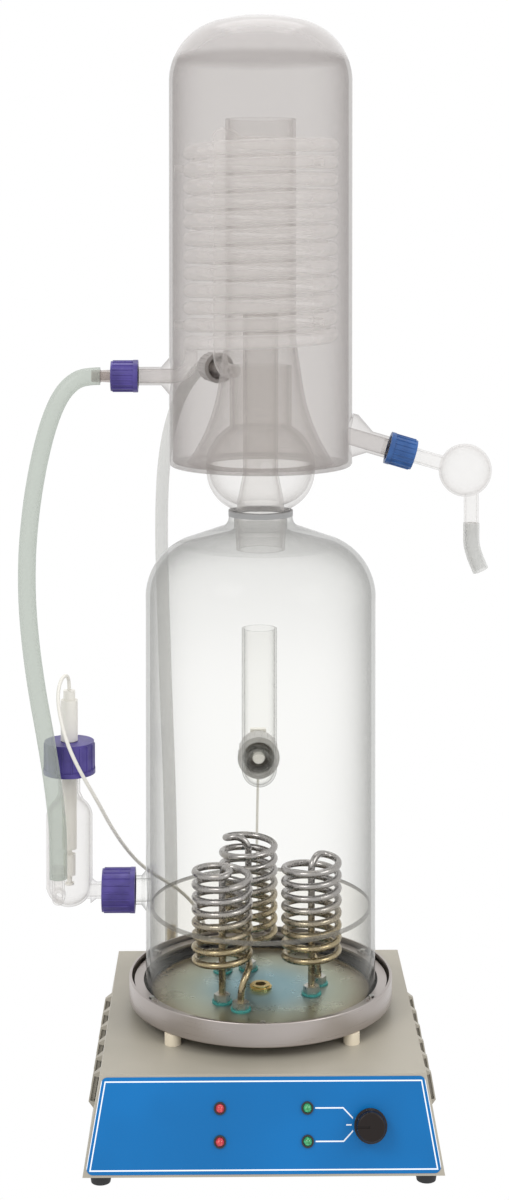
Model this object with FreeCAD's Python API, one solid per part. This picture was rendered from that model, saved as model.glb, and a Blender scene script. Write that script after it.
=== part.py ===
import FreeCAD
import Part
import math
import os

from FreeCAD import Vector as V

# Glass water distiller: a louvred base with a control panel, a boiler bell on a tray,
# and a condenser on the neck of the bell. Millimetres, +Z up, -Y is the front.
# The model is written about the axis of the glass column and moved at the end,
# so that the origin is under the middle of the object's box.

# Base housing, a folded sheet with sloping sides
HOUSING_TOP_WIDTH = 229.0
HOUSING_TOP_FRONT = -123.0
HOUSING_TOP_BACK = 115.0
HOUSING_SIDE_SLOPE = 11.0
HOUSING_FRONT_SLOPE = 20.0
HOUSING_BACK_SLOPE = 11.0
HOUSING_BOTTOM_Z = 8.0
HOUSING_TOP_Z = 71.0
SHEET = 1.5
TOP_HOLE_RADIUS = 76.0
CLEAR = 0.3
SCREW_FIT = 0.15

# Louvres, pressed outward in both sides
LOUVRE_COUNT = 6
LOUVRE_PITCH = 28.0
LOUVRE_LENGTH = 30.0
LOUVRE_WIDTH = 9.0
LOUVRE_RISE = 4.5
LOUVRE_Z = 41.0

# Feet
FOOT_RADIUS = 8.0
FOOT_TAPER = 1.2
FOOT_INSET = 12.0
FOOT_SCREW_RADIUS = 2.0

# Front panel: label, lamps and selector
LABEL_THICK = 0.4
LABEL_INSET = 1.6
LABEL_CORNER = 4.5
LAMP_X = 30.5
LAMP_TOP_Z = 50.0
LAMP_BOTTOM_Z = 29.5
LAMP_RADIUS = 3.0
BEZEL_RADIUS = 4.3
BEZEL_RISE = 1.2
LAMP_DEPTH = 14.0
KNOB_X = 74.0
KNOB_Z = 39.5
KNOB_RADIUS = 11.5
KNOB_HEIGHT = 16.0
KNOB_GAP = 0.8
SHAFT_RADIUS = 3.0
SHAFT_FIT = 0.05
BUSH_RADIUS = 4.8
BUSH_LENGTH = 9.0
SWITCH_RADIUS = 13.0
SWITCH_DEPTH = 20.0

# Tray under the bell
TRAY_RADIUS = 100.0
TRAY_WALL = 2.0
TRAY_BOTTOM_Z = 79.5
TRAY_TOP_Z = 97.0
TRAY_FLOOR = 2.0
SPACER_X = 65.0
SPACER_Y = 70.0
SPACER_RADIUS = 6.0
SPACER_BORE = 2.2

# Boiler floor and its clamp
PLATE_RADIUS = 96.0
PLATE_THICK = 4.0
PLATE_STEP = 2.5
GASKET = 2.0
GASKET_INNER = 83.0
FLANGE = 4.0
FLANGE_RADIUS = 91.5
RETAINER = 1.8
RETAINER_INNER = 89.0
CLIP_COUNT = 6
CLIP_RADIUS = 93.8
DRAIN_BORE = 4.0

# Boiler bell
BELL_RADIUS = 87.3
BELL_WALL = 3.0
BELL_SHOULDER_Z = 381.0
BELL_CORNER = 42.0
BELL_NECK_RADIUS = 24.5
BELL_NECK_Z = 446.0
NECK_SEAL = 4.0
NECK_SEAL_RADIUS = 24.5
CONE_RADIUS = 20.0
CONE_WALL = 2.0
CONE_END_Z = 420.0

# Screwed side ports. Each kind: thread radius, cap radius, cap length, bore radius
GL18 = {"thread": 9.0, "cap": 12.4, "long": 20.6, "bore": 5.6}
GL25 = {"thread": 12.5, "cap": 17.0, "long": 25.0, "bore": 8.6}
GL32 = {"thread": 16.0, "cap": 19.8, "long": 24.0, "bore": 8.0}
CAP_WALL = 2.0
CAP_RIBS = 18
CAP_RIB_RADIUS = 0.7
CAP_FIT = 0.35
SEAL = 2.0
GLASS = 1.6

# Heights and directions of the ports
SIDE_PORT_Z = 160.0
REAR_PORT_Z = 234.5
REAR_PORT_ANGLE = 90.0

# Upturned vapour tube inside the bell, off the rear port
INNER_TUBE_RADIUS = 14.0
INNER_TUBE_Y = 64.0
INNER_TUBE_TOP_Z = 347.0

# Heaters
HEATER_TUBE = 2.6
HEATER_COIL_RADIUS = 20.4
HEATER_PITCH = 9.4
HEATER_TURNS = 7.75
HEATER_BOTTOM_Z = 112.0
HEATER_RING_RADIUS = 40.0
HEATER_ANGLES = {"heater_right": -17.0, "heater_rear": 103.0, "heater_left": 223.0}
HEATER_LEG_RADIUS = 20.4
TERMINAL_DROP = 16.0
NUT_RADIUS = 6.2
NUT_HEIGHT = 5.0
WASHER_RADIUS = 7.6
WASHER = 1.2

# Level vessel beside the bell
VESSEL_X = -145.6
VESSEL_RADIUS = 17.6
VESSEL_BOTTOM_Z = 148.0
VESSEL_SHOULDER_Z = 227.0
VESSEL_TOP_Z = 270.0
ARM_RADIUS = 6.3
ROD_RADIUS = 6.5
ROD_TOP_Z = 313.0
ROD_BOTTOM_Z = 192.0
STEM_RADIUS = 2.0
STEM_END_Z = 166.0
FLOAT_RADIUS = 4.6
FLOAT_HEIGHT = 16.0
FLOAT_Z = 172.0
NOZZLE_RADIUS = 4.9
NOZZLE_BORE = 3.2
NOZZLE_REACH = 17.0
HOSE_LAP = 6.5

# Condenser
JACKET_RADIUS = 69.5
JACKET_WALL = 2.6
JACKET_BOTTOM_Z = 484.0
JACKET_SHOULDER_Z = 774.0
JACKET_TOP_Z = 825.5
JACKET_CORNER = 40.0
RISER_RADIUS = 26.9
RISER_LOW_RADIUS = 32.4
RISER_FOOT_RADIUS = 55.7
RISER_TOP_Z = 747.0
RISER_LOW_Z = 544.0
RISER_WALL = 2.0
TRAP_RADIUS = 41.2
TRAP_NECK_RADIUS = 23.6
TRAP_TOP_Z = 560.0
TRAP_SHOULDER_Z = 508.0
TRAP_BOTTOM_Z = 455.0
TRAP_WALL = 2.0
TRAP_TUBE_RADIUS = 13.4
TRAP_TUBE_TOP_Z = 600.0
TRAP_TUBE_LOW_Z = 470.0
COIL_RADIUS = 53.8
COIL_TUBE = 5.35
COIL_BORE = 4.0
COIL_PITCH = 13.05
COIL_TURNS = 11.75
COIL_BOTTOM_Z = 578.0
COIL_START_ANGLE = 192.0
RETURN_RADIUS = 40.3
COIL_PORT_Z = 552.0
COIL_PORT_REACH = 93.0
LEFT_PORT_ANGLE = 180.0
RETURN_ANGLE = 140.0
BACK_PORT_ANGLE = 110.0

# Outlet on the right, tilted down
OUTLET_TILT = 16.5
OUTLET_ROOT_Z = 505.6
OUTLET_CAP_START = 98.0
OUTLET_TUBE_RADIUS = 5.9
OUTLET_TUBE_WALL = 1.2
BULB_RADIUS = 20.2
BULB_X = 155.7
DROP_X = 160.4
DROP_END_Z = 440.0
DROP_TUBE_RADIUS = 5.7
DROP_HOSE_WALL = 1.3

# Hoses and cables: outer radius
COOLING_HOSE_RADIUS = 6.8
COOLING_HOSE_WALL = 1.7
SUPPLY_HOSE_RADIUS = 5.4
SUPPLY_HOSE_WALL = 1.4
SENSOR_CABLE_RADIUS = 1.4
REAR_CABLE_RADIUS = 1.1

Z_AXIS = V(0, 0, 1)
COMMON_SLOPE = HOUSING_TOP_Z - HOUSING_BOTTOM_Z
PANEL_TILT = math.atan2(HOUSING_FRONT_SLOPE, COMMON_SLOPE)
PANEL_OUT = V(0, -math.cos(PANEL_TILT), math.sin(PANEL_TILT))
PANEL_UP = V(0, math.sin(PANEL_TILT), math.cos(PANEL_TILT))
OUTLET_AXIS = V(math.cos(math.radians(OUTLET_TILT)), 0, -math.sin(math.radians(OUTLET_TILT)))
PLATE_BOTTOM_Z = TRAY_BOTTOM_Z + TRAY_FLOOR
PLATE_TOP_Z = PLATE_BOTTOM_Z + PLATE_THICK
FLANGE_Z = PLATE_TOP_Z + GASKET
RETAINER_Z = FLANGE_Z + FLANGE

nodes = {}
seals = []
hose_tails = []
cord_radii = {}


def polar(radius, angle, z=0.0):
    a = math.radians(angle)
    return V(radius * math.cos(a), radius * math.sin(a), z)


def rod(start, axis, radius, length):
    """A cylinder from a point along an axis."""
    return Part.makeCylinder(radius, length, start, axis)


def pipe(start, axis, radius, bore, length):
    """A straight tube."""
    return rod(start, axis, radius, length).cut(rod(start, axis, bore, length))


def spun(steps, place=None):
    """Revolves an outline of (r, z) points. ("arc", r1, z1, r2, z2) bends through a point, and
    ("dome", r, z) is part of a sphere from or to the axis."""
    edges = []
    first = V(steps[0][0], 0, steps[0][1])
    here = first
    for step in steps[1:]:
        if step[0] == "arc":
            mid = V(step[1], 0, step[2])
            end = V(step[3], 0, step[4])
            edges.append(Part.Arc(here, mid, end).toShape())
        elif step[0] == "dome":
            end = V(step[1], 0, step[2])
            apex, rim = (here, end) if here.x < end.x else (end, here)
            rise = abs(rim.z - apex.z)
            ball = (rim.x ** 2 + rise ** 2) / (2 * rise)
            half = math.asin(rim.x / ball) / 2
            side = 1 if rim.z > apex.z else -1
            mid = V(ball * math.sin(half), 0, apex.z + side * ball * (1 - math.cos(half)))
            edges.append(Part.Arc(here, mid, end).toShape())
        else:
            end = V(step[0], 0, step[1])
            edges.append(Part.makeLine(here, end))
        here = end
    if here.distanceToPoint(first) > 1e-6:
        edges.append(Part.makeLine(here, first))
    solid = Part.Face(Part.Wire(edges)).revolve(V(0, 0, 0), Z_AXIS, 360)
    if place:
        solid.Placement = place
    return solid


def aimed(base, axis):
    """The placement that carries +Z to an axis, at a point."""
    return FreeCAD.Placement(base, FreeCAD.Rotation(Z_AXIS, axis))


def arc_middle(start, tangent, end):
    """The middle of the arc from start to end that leaves along tangent."""
    chord = end - start
    along = V(chord).normalize()
    side = tangent - along * tangent.dot(along)
    if side.Length < 1e-6:
        return None
    side.normalize()
    half = tangent.getAngle(chord)
    return start + chord * 0.5 + side * (chord.Length * 0.5 * math.tan(half / 2))


def biarc(start, leave, end, arrive):
    """Two arcs that leave start along one direction and reach end along another."""
    leave = V(leave).normalize()
    arrive = V(arrive).normalize()
    v = end - start
    a = 2 * (leave.dot(arrive) - 1)
    b = -2 * v.dot(leave + arrive)
    c = v.dot(v)
    if abs(a) < 1e-9:
        d = -c / b
    else:
        root = math.sqrt(b * b - 4 * a * c)
        d = min(x for x in ((-b - root) / (2 * a), (-b + root) / (2 * a)) if x > 0)
    joint = (start + leave * d + end - arrive * d) * 0.5
    edges = []
    middle = arc_middle(start, leave, joint)
    if middle:
        edges.append(Part.Arc(start, middle, joint).toShape())
    else:
        edges.append(Part.makeLine(start, joint))
    middle = arc_middle(end, arrive * -1, joint)
    if middle:
        edges.append(Part.Arc(joint, middle, end).toShape())
    else:
        edges.append(Part.makeLine(joint, end))
    return edges


def swept(edges, radius, start, leave):
    """A round bar along a path."""
    ring = Part.Wire(Part.Circle(start, leave, radius).toShape())
    return Part.Wire(edges).makePipeShell([ring], True, False)


def helix(centre, radius, pitch, turns, z, first_angle):
    """Points and directions on a rising coil, four to a turn."""
    stops = []
    slope = pitch / (2 * math.pi)
    count = int(round(turns * 4))
    for i in range(count + 1):
        angle = first_angle + 90.0 * i
        a = math.radians(angle)
        point = centre + polar(radius, angle, z + pitch * i / 4.0)
        leave = V(-radius * math.sin(a), radius * math.cos(a), slope).normalize()
        stops.append((point, leave))
    return stops


def joined(stops):
    """Biarcs through a list of points and directions."""
    edges = []
    for (start, leave), (end, arrive) in zip(stops, stops[1:]):
        edges += biarc(start, leave, end, arrive)
    return edges


def least_self_gap(edges, radius, apart):
    """The least gap between stretches of one wound tube, measured on points."""
    points = []
    for edge in edges:
        count = max(3, int(edge.Length / 2.5))
        points += edge.discretize(count)[:-1]
    travelled = [0.0]
    for a, b in zip(points, points[1:]):
        travelled.append(travelled[-1] + a.distanceToPoint(b))
    least = 1e9
    for i, a in enumerate(points):
        for j in range(i + 1, len(points)):
            if travelled[j] - travelled[i] > apart:
                least = min(least, a.distanceToPoint(points[j]))
    return least - 2 * radius


def route_edges(name, points):
    """Straight runs joined by arcs, each as large as its two runs allow."""
    edges = []
    radii = []
    here = points[0]
    for before, corner, after in zip(points, points[1:], points[2:]):
        inward = V(corner - before).normalize()
        outward = V(after - corner).normalize()
        turn = inward.getAngle(outward)
        shorter = min(before.distanceToPoint(corner), corner.distanceToPoint(after))
        back = 0.45 * shorter
        radius = back / math.tan(turn / 2)
        start = corner - inward * back
        end = corner + outward * back
        edges.append(Part.LineSegment(here, start).toShape())
        bisector = V(outward - inward).normalize()
        rise = radius / math.cos(turn / 2) - radius
        edges.append(Part.Arc(start, corner + bisector * rise, end).toShape())
        radii.append(radius)
        here = end
    edges.append(Part.LineSegment(here, points[-1]).toShape())
    cord_radii[name] = radii
    return edges


def cord(name, points, radius, bore=0.0):
    """A cable, or a hose with its bore, along a route chosen by hand."""
    edges = route_edges(name, points)
    leave = points[1] - points[0]
    solid = swept(edges, radius, points[0], leave)
    area = math.pi * radius * radius
    if bore:
        solid = solid.cut(swept(edges, bore, points[0], leave))
        area -= math.pi * bore * bore
    length = sum(edge.Length for edge in edges)
    ratio = solid.Volume / (area * length)
    print(f"{name}: least radius {min(cord_radii[name]):.1f}, length {length:.0f}, volume ratio {ratio:.4f}")
    nodes[name] = solid


def group(name, solids):
    """Like pieces that share one node."""
    nodes[name] = Part.makeCompound(solids)


def panel_point(x, z, out=0.0):
    """A point on the sloping front panel, or a distance out from it."""
    y = HOUSING_TOP_FRONT - (HOUSING_TOP_Z - z) * math.tan(PANEL_TILT)
    return V(x, y, z) + PANEL_OUT * out


def housing_outline(z, inset):
    """The housing's rectangle at a height, drawn in by the sheet."""
    low = (HOUSING_TOP_Z - z) / COMMON_SLOPE
    half = HOUSING_TOP_WIDTH / 2 + HOUSING_SIDE_SLOPE * low - inset
    front = HOUSING_TOP_FRONT - HOUSING_FRONT_SLOPE * low + inset
    back = HOUSING_TOP_BACK + HOUSING_BACK_SLOPE * low - inset
    corners = [V(-half, front, z), V(half, front, z), V(half, back, z), V(-half, back, z)]
    return Part.makePolygon(corners + [corners[0]])


def housing_block(bottom, top, inset):
    return Part.makeLoft([housing_outline(bottom, inset), housing_outline(top, inset)], True, True)


def louvre(side, y):
    """A hood pressed out of a side, open at its rear edge, and the slot under it."""
    slope = math.atan2(HOUSING_SIDE_SLOPE, COMMON_SLOPE)
    x = HOUSING_TOP_WIDTH / 2 + (HOUSING_TOP_Z - LOUVRE_Z) * math.tan(slope)
    half = LOUVRE_LENGTH / 2
    outline = [V(-SHEET, 0, -half), V(-SHEET, LOUVRE_WIDTH, -half), V(LOUVRE_RISE, LOUVRE_WIDTH * 0.55, -half + 3)]
    wide = Part.makePolygon([V(-SHEET, 0, -half), V(-SHEET, LOUVRE_WIDTH, -half),
                             V(-SHEET, LOUVRE_WIDTH, half), V(-SHEET, 0, half), V(-SHEET, 0, -half)])
    tip = Part.makePolygon([V(LOUVRE_RISE, 1.5, -half + 5), V(LOUVRE_RISE, outline[2].y, -half + 5),
                            V(LOUVRE_RISE, outline[2].y, half - 5), V(LOUVRE_RISE, 1.5, half - 5),
                            V(LOUVRE_RISE, 1.5, -half + 5)])
    hood = Part.makeLoft([wide, tip], True, True)
    slot = Part.makeBox(LOUVRE_RISE + SHEET, LOUVRE_WIDTH * 0.45, LOUVRE_LENGTH - 12,
                        V(-SHEET - 1, -1, -half + 6))
    slot = slot.fuse(Part.makeBox(SHEET + 1.5, LOUVRE_WIDTH * 0.7, LOUVRE_LENGTH - 12,
                                  V(-SHEET - 1, 0, -half + 6)))
    turn = FreeCAD.Rotation(V(0, 1, 0), -math.degrees(slope))
    place = FreeCAD.Placement(V(x, y, LOUVRE_Z), turn)
    solids = []
    for solid in (hood, slot):
        solid = solid.transformGeometry(place.toMatrix())
        if side < 0:
            solid = solid.mirror(V(0, 0, 0), V(1, 0, 0))
        solids.append(solid)
    return solids


def base_screws_at():
    """Where the four feet and the floor's screws stand."""
    half = HOUSING_TOP_WIDTH / 2 + HOUSING_SIDE_SLOPE - FOOT_INSET
    front = HOUSING_TOP_FRONT - HOUSING_FRONT_SLOPE + FOOT_INSET
    back = HOUSING_TOP_BACK + HOUSING_BACK_SLOPE - FOOT_INSET
    return [V(x, y, 0) for y in (front, back) for x in (-half, half)]


def spacers_at():
    return [V(x, y, 0) for y in (-SPACER_Y, SPACER_Y) for x in (-SPACER_X, SPACER_X)]


def heater_terminals():
    """The two legs of each heater, where they pass the boiler plate."""
    ends = []
    for angle in HEATER_ANGLES.values():
        centre = polar(HEATER_RING_RADIUS, angle)
        ends.append(centre)
        ends.append(centre + polar(HEATER_LEG_RADIUS, angle + 90.0))
    return ends


# Fittings on the rear panel
INLET_X = -20.0
ELBOW_X = -72.0
GLAND_X = 70.0
REAR_FITTING_Z = 40.0
FITTING_RADIUS = 8.0
GLAND_RADIUS = 10.0
GLAND_BORE = 4.5
BARB_RADIUS = 3.9
BARB_BORE = 2.4
ELBOW_RUN = 16.0
ELBOW_TOP_Z = 84.0
VALVE_WIDTH = 30.0
VALVE_HEIGHT = 28.0
SLOPE_BACK = math.atan2(HOUSING_BACK_SLOPE, COMMON_SLOPE)


def back_y(z, out=0.0):
    """Where the rear panel's outside is at a height."""
    return HOUSING_TOP_BACK + (HOUSING_TOP_Z - z) * math.tan(SLOPE_BACK) + out


def make_housing():
    shell = housing_block(HOUSING_BOTTOM_Z, HOUSING_TOP_Z, 0)
    inner = housing_block(HOUSING_BOTTOM_Z, HOUSING_TOP_Z - SHEET, SHEET)
    shell = shell.cut(inner)
    span = LOUVRE_PITCH * (LOUVRE_COUNT - 1)
    first = (HOUSING_TOP_FRONT + HOUSING_TOP_BACK - span - LOUVRE_WIDTH) / 2
    hoods = []
    slots = []
    for side in (-1, 1):
        for i in range(LOUVRE_COUNT):
            hood, slot = louvre(side, first + LOUVRE_PITCH * i)
            hoods.append(hood)
            slots.append(slot)
    shell = shell.multiFuse(hoods).cut(Part.makeCompound(slots))
    holes = [rod(V(0, 0, HOUSING_TOP_Z - 5), Z_AXIS, TOP_HOLE_RADIUS, 10)]
    for spot in spacers_at():
        holes.append(rod(spot + V(0, 0, HOUSING_TOP_Z - 5), Z_AXIS, SPACER_BORE, 10))
    for x in (-LAMP_X, LAMP_X):
        for z in (LAMP_TOP_Z, LAMP_BOTTOM_Z):
            holes.append(rod(panel_point(x, z, -5), PANEL_OUT, LAMP_RADIUS + SCREW_FIT, 10))
    holes.append(rod(panel_point(KNOB_X, KNOB_Z, -5), PANEL_OUT, BUSH_RADIUS + SCREW_FIT, 10))
    for x, radius in ((INLET_X, FITTING_RADIUS - 2), (ELBOW_X, FITTING_RADIUS - 2), (GLAND_X, GLAND_RADIUS - 2)):
        holes.append(rod(V(x, back_y(REAR_FITTING_Z, -10), REAR_FITTING_Z), V(0, 1, 0), radius, 20))
    nodes["housing_shell"] = shell.cut(Part.makeCompound(holes))


def make_base_plate():
    inset = SHEET + CLEAR
    floor = housing_block(HOUSING_BOTTOM_Z, HOUSING_BOTTOM_Z + 2 * SHEET, inset)
    holes = []
    for spot in base_screws_at():
        holes.append(rod(spot, Z_AXIS, FOOT_SCREW_RADIUS + SCREW_FIT, 30))
    for i in range(-3, 4):
        slot = Part.makeBox(60, 4, 10, V(-30, 12.0 * i - 2, HOUSING_BOTTOM_Z - 1))
        holes.append(slot)
    nodes["base_plate"] = floor.cut(Part.makeCompound(holes))
    feet = []
    screws = []
    for spot in base_screws_at():
        foot = Part.makeCone(FOOT_RADIUS - FOOT_TAPER, FOOT_RADIUS, HOUSING_BOTTOM_Z, spot)
        bore = rod(spot, Z_AXIS, FOOT_SCREW_RADIUS + SCREW_FIT, HOUSING_BOTTOM_Z)
        seat = rod(spot, Z_AXIS, 2 * FOOT_SCREW_RADIUS + CLEAR, 3.5)
        feet.append(foot.cut(bore).cut(seat))
        head = rod(spot + V(0, 0, 1.5), Z_AXIS, 2 * FOOT_SCREW_RADIUS, 2.0)
        top = HOUSING_BOTTOM_Z + 2 * SHEET + 3
        stem = rod(spot + V(0, 0, 3.5), Z_AXIS, FOOT_SCREW_RADIUS, top - 3.5)
        screws.append(head.fuse(stem))
    group("rubber_feet", feet)
    group("base_plate_screws", screws)


def make_panel():
    corners = []
    for z, side in ((HOUSING_BOTTOM_Z + LABEL_INSET, -1), (HOUSING_BOTTOM_Z + LABEL_INSET, 1),
                    (HOUSING_TOP_Z - LABEL_INSET, 1), (HOUSING_TOP_Z - LABEL_INSET, -1)):
        low = (HOUSING_TOP_Z - z) / COMMON_SLOPE
        half = HOUSING_TOP_WIDTH / 2 + HOUSING_SIDE_SLOPE * low - LABEL_INSET
        corners.append(panel_point(side * half, z))
    sheet = Part.Face(Part.makePolygon(corners + [corners[0]])).extrude(PANEL_OUT * LABEL_THICK)
    edges = []
    for edge in sheet.Edges:
        way = edge.tangentAt(edge.FirstParameter)
        if abs(abs(way.dot(PANEL_OUT)) - 1) < 1e-6:
            edges.append(edge)
    sheet = sheet.makeFillet(LABEL_CORNER, edges)
    holes = [rod(panel_point(KNOB_X, KNOB_Z, -1), PANEL_OUT, BUSH_RADIUS + SCREW_FIT, 4)]
    spots = {"low_water": (-LAMP_X, LAMP_TOP_Z), "full_tank": (-LAMP_X, LAMP_BOTTOM_Z),
             "distilling": (LAMP_X, LAMP_TOP_Z), "cleaning": (LAMP_X, LAMP_BOTTOM_Z)}
    bezels = []
    lamps = {}
    for name, (x, z) in spots.items():
        holes.append(rod(panel_point(x, z, -1), PANEL_OUT, LAMP_RADIUS + SCREW_FIT, 4))
        dome = Part.makeSphere(LAMP_RADIUS, panel_point(x, z, LABEL_THICK + BEZEL_RISE))
        stem_start = panel_point(x, z, -LAMP_DEPTH)
        stem = rod(stem_start, PANEL_OUT, LAMP_RADIUS, LAMP_DEPTH + LABEL_THICK + BEZEL_RISE)
        lamps[name] = dome.fuse(stem).removeSplitter()
        ring = pipe(panel_point(x, z, LABEL_THICK), PANEL_OUT, BEZEL_RADIUS, LAMP_RADIUS + SCREW_FIT, BEZEL_RISE)
        bezels.append(ring)
    group("lamp_bezels", bezels)
    group("red_lamps", [lamps["low_water"], lamps["full_tank"]])
    group("green_lamps", [lamps["distilling"], lamps["cleaning"]])
    nodes["control_panel_label"] = sheet.cut(Part.makeCompound(holes))
    board = Part.makeBox(2 * LAMP_X + 24, 1.6, 44)
    turn = FreeCAD.Rotation(V(1, 0, 0), -math.degrees(PANEL_TILT))
    middle = panel_point(0, (LAMP_TOP_Z + LAMP_BOTTOM_Z) / 2, -LAMP_DEPTH)
    board.Placement = FreeCAD.Placement(middle - PANEL_UP * 22 - V(LAMP_X + 12, 0, 0), turn)
    spacers = []
    for x in (-LAMP_X - 8, LAMP_X + 8):
        for z in (LAMP_TOP_Z, LAMP_BOTTOM_Z):
            start = panel_point(x, z, -LAMP_DEPTH)
            spacers.append(rod(start, PANEL_OUT, 2.5, LAMP_DEPTH - SHEET / math.cos(PANEL_TILT)))
    nodes["control_board"] = board.multiFuse(spacers)


def make_selector():
    back = -SHEET - CLEAR
    body = rod(panel_point(KNOB_X, KNOB_Z, back - SWITCH_DEPTH), PANEL_OUT, SWITCH_RADIUS, SWITCH_DEPTH)
    bush = rod(panel_point(KNOB_X, KNOB_Z, back), PANEL_OUT, BUSH_RADIUS, BUSH_LENGTH - back - 3)
    hole = rod(panel_point(KNOB_X, KNOB_Z, back - 12), PANEL_OUT, SHAFT_RADIUS + SHAFT_FIT, 40)
    tags = []
    for i in (-1, 0, 1):
        start = panel_point(KNOB_X, KNOB_Z, back - SWITCH_DEPTH - 6) + V(7.0 * i - 1.5, 0, 0)
        tags.append(rod(start, PANEL_OUT, 1.2, 6))
    nodes["selector_switch"] = body.fuse(bush).cut(hole).multiFuse(tags)
    nut = hexagon(panel_point(KNOB_X, KNOB_Z, LABEL_THICK), PANEL_OUT, BUSH_RADIUS + 2.2, 2.4)
    nodes["switch_nut"] = nut.cut(rod(panel_point(KNOB_X, KNOB_Z, 0), PANEL_OUT, BUSH_RADIUS + SCREW_FIT, 8))
    start = BUSH_LENGTH - 3 + KNOB_GAP
    place = aimed(panel_point(KNOB_X, KNOB_Z, start), PANEL_OUT)
    r = KNOB_RADIUS
    h = KNOB_HEIGHT - start
    knob = spun([(0, 0), (r, 0), (r, 2.2), (r - 1.2, 3.4), (r - 1.8, h - 1.5), ("arc", r - 2.2, h - 0.4, r - 3.3, h),
                 (0, h)])
    flutes = []
    for i in range(16):
        spot = polar(r + 0.2, 360.0 * i / 16)
        flutes.append(rod(spot + V(0, 0, 3.4), Z_AXIS, 1.1, h))
    mark = Part.makeBox(r - 1, 1.4, 1.0, V(-r, -0.7, h - 0.8))
    knob = knob.cut(Part.makeCompound(flutes)).cut(mark)
    knob.Placement = place
    nodes["selector_knob"] = knob
    shaft = rod(panel_point(KNOB_X, KNOB_Z, back - 11), PANEL_OUT, SHAFT_RADIUS, 11 - back + start)
    nodes["selector_shaft"] = shaft


def hexagon(start, axis, radius, height):
    corners = [polar(radius, 60.0 * i) for i in range(6)]
    prism = Part.Face(Part.makePolygon(corners + [corners[0]])).extrude(V(0, 0, height))
    prism.Placement = aimed(start, axis)
    return prism


def make_electrics():
    floor = HOUSING_BOTTOM_Z + 2 * SHEET
    contactor = Part.makeBox(45, 50, 44, V(30, 10, floor))
    notch = Part.makeBox(45, 9, 9, V(30, 10, floor + 35))
    far = Part.makeBox(45, 9, 9, V(30, 51, floor + 35))
    nodes["power_contactor"] = contactor.cut(notch).cut(far)
    block = Part.makeBox(60, 18, 20, V(-40, 60, floor))
    cuts = []
    for i in range(6):
        cuts.append(rod(V(-35 + 10.0 * i, 65, floor + 12), Z_AXIS, 3, 10))
        cuts.append(rod(V(-35 + 10.0 * i, 73, floor + 12), Z_AXIS, 2, 10))
    nodes["terminal_block"] = block.cut(Part.makeCompound(cuts))
    y = back_y(REAR_FITTING_Z)
    out = V(0, 1, 0)
    spot = V(GLAND_X, y, REAR_FITTING_Z)
    gland = rod(spot - out * 12, out, GLAND_RADIUS - 2 - SCREW_FIT, 24)
    gland = gland.fuse(rod(spot + out * 3, out, GLAND_RADIUS + 2, 7))
    gland = gland.fuse(hexagon(spot + out * 10, out, GLAND_RADIUS + 2, 8))
    gland = gland.fuse(hexagon(spot - out * 14, out, GLAND_RADIUS + 2, 5))
    nodes["cable_gland"] = gland.cut(rod(spot - out * 20, out, GLAND_BORE, 60))


def barb(start, axis, length, radius, ridges=2):
    """A hose tail with tapered ridges."""
    steps = [(0, 0), (radius - 0.5, 0)]
    pitch = (length - 2) / ridges
    for i in range(ridges):
        z = 2 + pitch * i
        steps.append((radius - 0.5, z))
        steps.append((radius, z + 0.4))
        steps.append((radius - 0.5, z + pitch - 0.2))
    steps.append((radius - 0.5, length))
    steps.append((0, length))
    solid = spun(steps)
    solid.Placement = aimed(start, axis)
    return solid


def make_water_inlet():
    floor = HOUSING_BOTTOM_Z + 2 * SHEET
    out = V(0, 1, 0)
    y = back_y(REAR_FITTING_Z)
    left = ELBOW_X - VALVE_WIDTH / 2
    width = INLET_X - ELBOW_X + VALVE_WIDTH
    front = y - 12 - VALVE_WIDTH
    valve = Part.makeBox(width, VALVE_WIDTH, VALVE_HEIGHT - 4, V(left, front, REAR_FITTING_Z - 10))
    foot = Part.makeBox(width - 30, VALVE_WIDTH, REAR_FITTING_Z - 10 - floor, V(left + 15, front, floor))
    middle = V((INLET_X + ELBOW_X) / 2, front + VALVE_WIDTH / 2, REAR_FITTING_Z - 10)
    solenoid = rod(middle, Z_AXIS, 9, VALVE_HEIGHT + 1)
    nodes["solenoid_valve"] = valve.fuse(foot).fuse(solenoid)
    for name, x in (("water_inlet_barb", INLET_X), ("valve_outlet_elbow", ELBOW_X)):
        spot = V(x, y, REAR_FITTING_Z)
        body = rod(spot - out * 12, out, FITTING_RADIUS - 2 - SCREW_FIT, 16)
        body = body.fuse(hexagon(spot + out * 2.2, out, FITTING_RADIUS + 1.5, 6))
        if name == "water_inlet_barb":
            body = body.fuse(barb(spot + out * 7.2, out, 23, BARB_RADIUS + 1))
            body = body.cut(rod(spot - out * 12, out, BARB_BORE, 60))
        else:
            body = body.fuse(rod(spot, out, BARB_RADIUS, ELBOW_RUN))
            corner = spot + out * ELBOW_RUN
            body = body.fuse(Part.makeSphere(BARB_RADIUS, corner))
            rise = ELBOW_TOP_Z - REAR_FITTING_Z
            body = body.fuse(rod(corner, Z_AXIS, BARB_RADIUS, rise - 16))
            body = body.fuse(barb(corner + V(0, 0, rise - 16), Z_AXIS, 16, BARB_RADIUS))
            body = body.cut(rod(spot - out * 12, out, BARB_BORE, ELBOW_RUN + 12))
            body = body.cut(rod(corner, Z_AXIS, BARB_BORE, rise + 5))
        nodes[name] = body


GROMMETS = {"level": V(-42.0, 105.5, 0), "vapour": V(2.0, 106.5, 0)}
GROMMET_RADIUS = 3.8
DOME_IN = 26.0
DOME_RISE = 45.0
DOME_MIDDLE_IN = 9.8
DOME_MIDDLE_RISE = 32.0


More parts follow.
